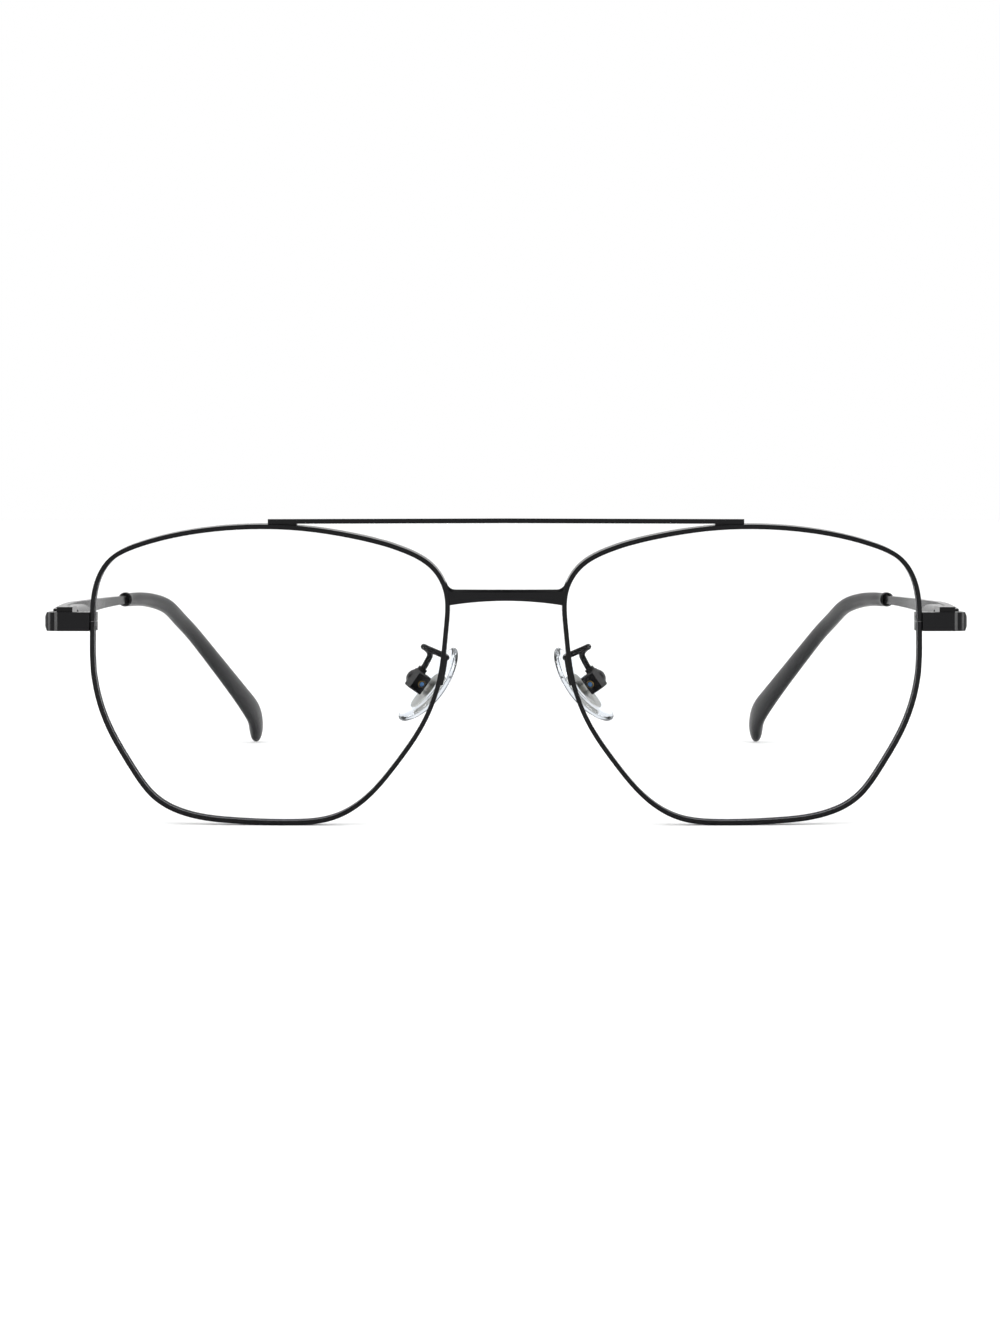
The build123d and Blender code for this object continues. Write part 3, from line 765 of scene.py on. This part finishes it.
@dataclass
class PadScrewEnd:
    """The front end of a pad screw: a brass ring round a dried dab of thread adhesive."""

    place: PadPlace
    reach_mm: float = 1.6
    screw_radius_mm: float = 0.5
    ring_wire_mm: float = 0.09
    dab_radius_mm: float = 0.36
    dab_height_mm: float = 0.09
    # The dab's outline, each place as shares of its radius and its height
    dab_outline: tuple[tuple[float, float], ...] = (
        (0, 0),
        (1, 0),
        (1, 0.25),
        (0.85, 0.7),
        (0.5, 0.95),
        (0.2, 1),
        (0, 1),
    )
    # The heights in the ring's outline, as shares of its wire
    ring_waist: float = 0.5
    ring_crest: float = 0.9
    ring_hollow: float = 0.6
    points: int = 40

    def build(
        self, side: Side, brass: bpy.types.Material, adhesive: bpy.types.Material
    ) -> list[bpy.types.Object]:
        """Make the ring and the dab.

        Args:
            side: The side that the screw is on.
            brass: The ring's metal.
            adhesive: The dab's finish.

        Returns:
            The ring and the dab.
        """
        front = -self.reach_mm
        dab = [
            self.ring(side, share * self.dab_radius_mm, front - high * self.dab_height_mm)
            for share, high in self.dab_outline
        ]
        dab_piece = closed_mesh(f"adhesive_dab_{side.word}", dab, adhesive)
        radius, wire = self.screw_radius_mm, self.ring_wire_mm
        ring_outline = (
            (0, 0),
            (radius + wire / 2, 0),
            (radius + wire / 2, self.ring_waist),
            (radius, self.ring_crest),
            (radius - wire, self.ring_crest),
            (0, self.ring_hollow),
        )
        collar = [self.ring(side, out, front + wire - high * wire) for out, high in ring_outline]
        ring_piece = closed_mesh(f"screw_ring_{side.word}", collar, brass)
        LOG.info("%s and %s: on the front of the box", dab_piece.name, ring_piece.name)
        return [ring_piece, dab_piece]

    def ring(self, side: Side, radius: float, across: float) -> list[Vector]:
        """Return one ring of points about the screw, at that place across the pad."""
        turns = [2 * math.pi * n / self.points for n in range(self.points)]
        return [
            self.place.at(side, radius * math.cos(turn), across, radius * math.sin(turn))
            for turn in turns
        ]


@dataclass
class HingeSpring:
    """A coil spring on the slider's rod, wound from round wire with its turns evenly spaced."""

    spread_mm: float = 68.05
    start_mm: float = -59.08
    height_mm: float = 31.9
    coil_radius_mm: float = 0.625
    wire_mm: float = 0.2
    pitch_mm: float = 0.55
    turns: float = 10.0
    steps_per_turn: int = 28
    wire_sides: int = 12

    def tree(self, steel: bpy.types.Material) -> bpy.types.NodeTree:
        """Return the node tree that winds the coil along +Z from the origin.

        Args:
            steel: The wire's finish.

        Returns:
            The tree, with inputs for the turns, pitch, radius and wire.
        """
        tree = bpy.data.node_groups.new("wound_spring", "GeometryNodeTree")
        for name in ("Turns", "Pitch", "Coil Radius", "Wire Radius"):
            tree.interface.new_socket(name, in_out="INPUT", socket_type="NodeSocketFloat")
        tree.interface.new_socket("Geometry", in_out="OUTPUT", socket_type="NodeSocketGeometry")
        sizes = add_node(tree, "NodeGroupInput").outputs
        factors = {0: sizes["Turns"], 1: sizes["Pitch"]}
        winding = {
            "Resolution": self.steps_per_turn,
            "Rotations": sizes["Turns"],
            "Start Radius": sizes["Coil Radius"],
            "End Radius": sizes["Coil Radius"],
            "Height": add_node(tree, "ShaderNodeMath", factors, operation="MULTIPLY").outputs[0],
        }
        spiral = add_node(tree, "GeometryNodeCurveSpiral", winding)
        circle = {"Resolution": self.wire_sides, "Radius": sizes["Wire Radius"]}
        section = add_node(tree, "GeometryNodeCurvePrimitiveCircle", circle)
        swept = {
            "Curve": spiral.outputs["Curve"],
            "Profile Curve": section.outputs["Curve"],
            "Fill Caps": True,
        }
        wire = add_node(tree, "GeometryNodeCurveToMesh", swept).outputs["Mesh"]
        for kind, more in (
            ("GeometryNodeRealizeInstances", {}),
            ("GeometryNodeSetShadeSmooth", {}),
            ("GeometryNodeSetMaterial", {"Material": steel}),
        ):
            wire = add_node(tree, kind, {"Geometry": wire} | more).outputs["Geometry"]
        add_node(tree, "NodeGroupOutput", {"Geometry": wire})
        return tree

    def build(self, side: Side, steel: bpy.types.Material) -> bpy.types.Object:
        """Wind one spring and lay it on its rod.

        Args:
            side: The side that it is on.
            steel: The wire's finish.

        Returns:
            The spring as a plain mesh.
        """
        tree = self.tree(steel)
        holder = placed(f"spring_holder_{side.word}", bpy.data.meshes.new("spring_holder"))
        modifier = holder.modifiers.new("winding", "NODES")
        modifier.node_group = tree
        values = (self.turns, self.pitch_mm * MM, self.coil_radius_mm * MM, self.wire_mm / 2 * MM)
        sockets = [item for item in tree.interface.items_tree if item.in_out == "INPUT"]
        for socket, value in zip(sockets, values):
            modifier[socket.identifier] = value
        graph = bpy.context.evaluated_depsgraph_get()
        wound = bpy.data.meshes.new_from_object(holder.evaluated_get(graph))
        bpy.data.objects.remove(holder)
        laid = Matrix.Translation(Vector((self.spread_mm, self.start_mm, self.height_mm)) * MM)
        wound.transform(laid @ Matrix.Rotation(-math.pi / 2, 4, "X"))
        if side is Side.RIGHT:
            wound.transform(Matrix.Scale(-1, 4, Vector((1, 0, 0))))
        shell = bmesh.new()
        shell.from_mesh(wound)
        bmesh.ops.recalc_face_normals(shell, faces=shell.faces)
        shell.to_mesh(wound)
        shell.free()
        piece = placed(f"wound_spring_{side.word}", wound)
        LOG.info("%s: %d faces", piece.name, len(wound.polygons))
        return piece


@dataclass
class Studio:
    """The white paper floor, the soft light and the camera."""

    floor_mm: float = 8000.0
    # The light that reaches the glasses and the floor, and how bright the backdrop itself looks
    world_level: float = 1.08
    backdrop_level: float = 1.0
    lamp_watts: float = 2.0
    lamp_size_mm: float = 1400.0
    lamp_place_mm: Vector = field(default_factory=lambda: Vector((-250, -350, 1300)))
    side_watts: float = 2.6
    side_size_mm: float = 280.0
    # Where the bevel at the front's left corner mirrors the camera, and that corner itself
    side_place_mm: Vector = field(default_factory=lambda: Vector((590, -250, 70)))
    corner_place_mm: Vector = field(default_factory=lambda: Vector((71, -66, 31)))
    lens_mm: float = 70.83
    sensor_mm: float = 36.0
    near_mm: float = 10.0
    eye_mm: Vector = field(default_factory=lambda: Vector((0, -470.08, 51.6)))
    # The shift of the camera's frame to the right and up, as shares of its longer side
    framing: tuple[float, float] = (-0.0045, -0.1317)

    def build(self) -> None:
        """Set the floor, the world, the lamps and the camera."""
        self.lay_floor()
        self.light_world()
        self.hang_lamps()
        self.place_camera()
        bpy.context.scene.view_settings.view_transform = "Standard"

    def lay_floor(self) -> None:
        """Lay the paper on the plane that the rims and tips stand on."""
        half = self.floor_mm / 2 * MM
        corners = [(-half, -half, 0), (half, -half, 0), (half, half, 0), (-half, half, 0)]
        mesh = bpy.data.meshes.new("paper_floor")
        mesh.from_pydata(corners, [], [range(len(corners))])
        mesh.materials.append(PaperFloor().build())
        placed("paper_floor", mesh)

    def light_world(self) -> None:
        """Fill the room with even white light, and show the backdrop as plain white."""
        world = bpy.data.worlds.new("white_studio")
        bpy.context.scene.world = world
        world.use_nodes = True
        tree = world.node_tree
        tree.nodes.clear()
        ray = add_node(tree, "ShaderNodeLightPath").outputs
        shown = ray["Is Camera Ray"]
        for kind in ("Is Glossy Ray", "Is Transmission Ray"):
            rays = {0: shown, 1: ray[kind]}
            shown = add_node(tree, "ShaderNodeMath", rays, operation="MAXIMUM").outputs[0]
        levels = {"Value": shown, "To Min": self.world_level, "To Max": self.backdrop_level}
        light = {
            "Color": linear_colour("#ffffff"),
            "Strength": add_node(tree, "ShaderNodeMapRange", levels).outputs["Result"],
        }
        surface = add_node(tree, "ShaderNodeBackground", light).outputs["Background"]
        add_node(tree, "ShaderNodeOutputWorld", {"Surface": surface})

    def hang_lamps(self) -> None:
        """Hang a large soft lamp high on the camera's left, and a small one beyond each corner."""
        origin = Vector()
        self.hang_lamp("soft_box", self.lamp_place_mm, origin, self.lamp_size_mm, self.lamp_watts)
        for side in Side:
            mirror = Vector((side.value, 1, 1))
            name = f"side_box_{side.word}"
            place, aim = self.side_place_mm * mirror, self.corner_place_mm * mirror
            self.hang_lamp(name, place, aim, self.side_size_mm, self.side_watts)

    def hang_lamp(
        self, name: str, place_mm: Vector, aim_mm: Vector, size_mm: float, watts: float
    ) -> None:
        """Hang one square soft lamp.

        Args:
            name: The lamp's name.
            place_mm: Where it hangs.
            aim_mm: The point that it faces.
            size_mm: The length of its sides.
            watts: Its power.
        """
        lamp = bpy.data.lights.new(name, "AREA")
        lamp.shape = "SQUARE"
        lamp.size = size_mm * MM
        lamp.energy = watts
        holder = placed(name, lamp)
        holder.location = place_mm * MM
        holder.rotation_euler = (aim_mm - place_mm).to_track_quat("-Z", "Y").to_euler()

    def place_camera(self) -> None:
        """Stand the camera level, just above the brow bar, and shift its frame to the glasses."""
        camera = bpy.data.cameras.new("front_camera")
        camera.lens = self.lens_mm
        camera.sensor_width = self.sensor_mm
        camera.clip_start = self.near_mm * MM
        camera.shift_x, camera.shift_y = self.framing
        holder = placed("front_camera", camera)
        holder.location = self.eye_mm * MM
        holder.rotation_euler = (math.radians(90), 0, 0)
        bpy.context.scene.camera = holder


def main() -> None:
    """Load the solids, dress them, add the soft and small pieces, and set the studio."""
    logging.basicConfig(level=logging.INFO, format="%(message)s")
    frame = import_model()
    finishes = Finishes()
    finishes.dress_solids(frame["nodes"])
    place = PadPlace()
    box_place = PadPlace(twist_degrees=BOX_TWIST_DEGREES)
    for side in Side:
        pad = NosePad(place).build(side, finishes.vinyl)
        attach(pad, f"{side.word}_nose_pad")
        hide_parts(f"nose_pad_{side.word}")
        for piece in PadScrewEnd(box_place).build(side, finishes.brass, finishes.adhesive):
            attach(piece, "front")
        spring = HingeSpring().build(side, finishes.steel)
        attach(spring, f"{side.word}_temple")
        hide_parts(f"hinge_spring_{side.word}")
    Studio().build()


if __name__ == "__main__":
    main()
